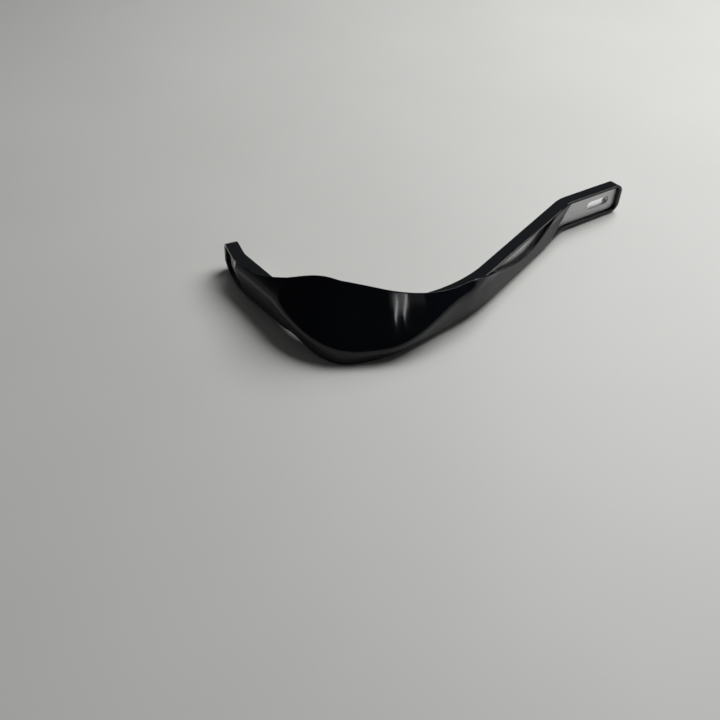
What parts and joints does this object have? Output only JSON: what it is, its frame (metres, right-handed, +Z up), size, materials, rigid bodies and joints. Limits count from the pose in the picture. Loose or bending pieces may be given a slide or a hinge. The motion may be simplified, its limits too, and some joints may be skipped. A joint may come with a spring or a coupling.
{
  "type": "motorcycle hand guard",
  "caption": "Wrap-around hand guard: a gloss plastic shell with a bulging shield on a bent flat aluminium bar that bolts to a handlebar and its end.",
  "frame": {"origin": "middle of the bounding box, on the surface that the guard lies on", "axes": "+X along the guard's length towards the inner end with the slot, +Z up, -Y towards the front of the shield"},
  "size_m": [0.3456, 0.1784, 0.0522],
  "materials": {
    "black_plastic": "gloss injection moulding",
    "bare_aluminium": "bare, satin"
  },
  "bodies": {
    "root": {"guard_shell": "black_plastic", "reinforcing_bar": "bare_aluminium"}
  },
  "joints": []
}
